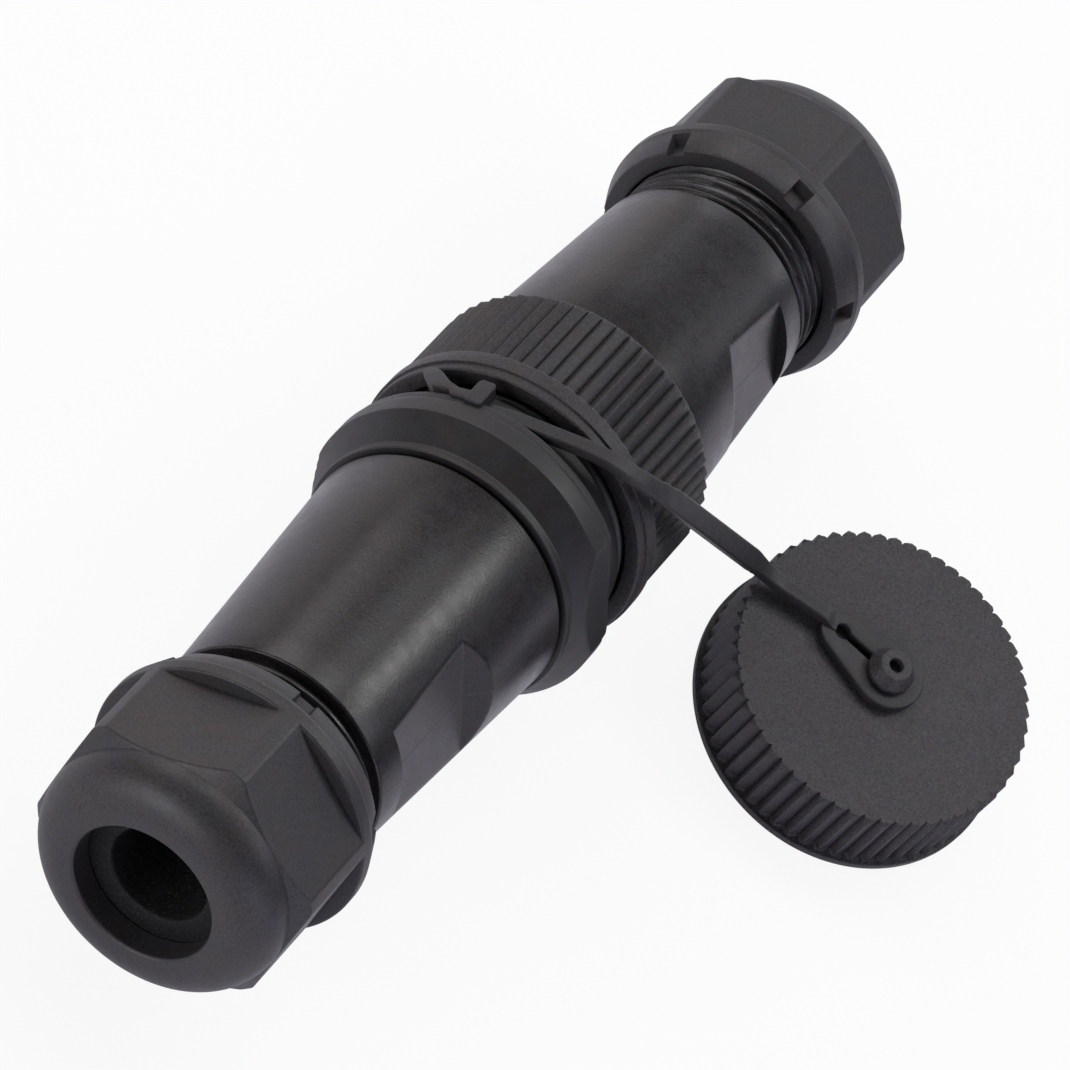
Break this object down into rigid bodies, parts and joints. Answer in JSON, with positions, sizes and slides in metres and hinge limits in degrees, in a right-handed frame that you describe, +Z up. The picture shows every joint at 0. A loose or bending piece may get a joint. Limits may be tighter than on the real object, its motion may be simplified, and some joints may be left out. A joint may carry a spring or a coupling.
{
  "type": "cable connector",
  "caption": "Mated waterproof cable connector pair with hexagonal gland nuts, a ribbed coupling ring, a double-D flange and a tethered screw cap.",
  "frame": {"origin": "on the connector's axis, at the outer face of the front gland's rubber seal", "axes": "+Y along the axis towards the rear cable entry, +X towards the tethered cap, +Z up"},
  "size_m": [0.0701, 0.1262, 0.0319],
  "materials": {
    "gland_plastic": "satin",
    "shell_plastic": "satin",
    "ring_plastic": "fine grain",
    "cap_plastic": "fine grain",
    "strap_plastic": "satin",
    "cage_plastic": "matte",
    "insert_plastic": "matte",
    "seal_rubber": "matte",
    "contact_brass": "turned",
    "screw_steel": "plated"
  },
  "bodies": {
    "front_half": {"front_shell": "shell_plastic", "front_shell_gasket": "seal_rubber", "front_coupler": "shell_plastic", "interface_seal": "seal_rubber", "pin_insert": "insert_plastic", "contact_pins": "contact_brass", "pin_terminal_screws": "screw_steel", "cap_strap": "strap_plastic"},
    "front_clamp": {"front_gland_seal": "seal_rubber", "front_clamp_cage": "cage_plastic"},
    "front_nut": {"front_gland_nut": "gland_plastic"},
    "rear_half": {"plug_body": "shell_plastic", "socket_insert": "insert_plastic", "contact_sockets": "contact_brass", "socket_terminal_screws": "screw_steel", "rear_shell_gasket": "seal_rubber", "rear_shell": "shell_plastic"},
    "coupling": {"coupling_ring": "ring_plastic"},
    "rear_clamp": {"rear_gland_seal": "seal_rubber", "rear_clamp_cage": "cage_plastic"},
    "rear_nut": {"rear_gland_nut": "gland_plastic"},
    "cap": {"cap": "cap_plastic", "cap_gasket": "seal_rubber"}
  },
  "joints": [
    {"name": "coupling_slide", "type": "slide", "parent": "front_half", "child": "rear_half", "axis": [0, 1, 0], "range_m": [0, 0.008]},
    {"name": "coupling_turn", "type": "hinge", "parent": "rear_half", "child": "coupling", "pos_m": [0, 0.067, 0], "axis": [0, 1, 0], "range_deg": [0, 1440]},
    {"name": "front_clamp_slide", "type": "slide", "parent": "front_half", "child": "front_clamp", "axis": [0, -1, 0], "range_m": [0, 0.00525]},
    {"name": "front_nut_turn", "type": "hinge", "parent": "front_clamp", "child": "front_nut", "pos_m": [0, 0, 0], "axis": [0, -1, 0], "range_deg": [0, 1260]},
    {"name": "rear_clamp_slide", "type": "slide", "parent": "rear_half", "child": "rear_clamp", "axis": [0, 1, 0], "range_m": [-0.0015, 0.00375]},
    {"name": "rear_nut_turn", "type": "hinge", "parent": "rear_clamp", "child": "rear_nut", "pos_m": [0, 0.1204, 0], "axis": [0, 1, 0], "range_deg": [-360, 900]},
    {"name": "cap_swivel", "type": "hinge", "parent": "front_half", "child": "cap", "pos_m": [0.0383, 0.0821, -0.00389], "axis": [0, -0.1736, 0.9848], "continuous": true}
  ],
  "couplings": [
    {"joint": "coupling_slide", "follows": "coupling_turn", "m_per_rad": 0.0003183},
    {"joint": "front_clamp_slide", "follows": "front_nut_turn", "m_per_rad": 0.0002387},
    {"joint": "rear_clamp_slide", "follows": "rear_nut_turn", "m_per_rad": 0.0002387}
  ]
}
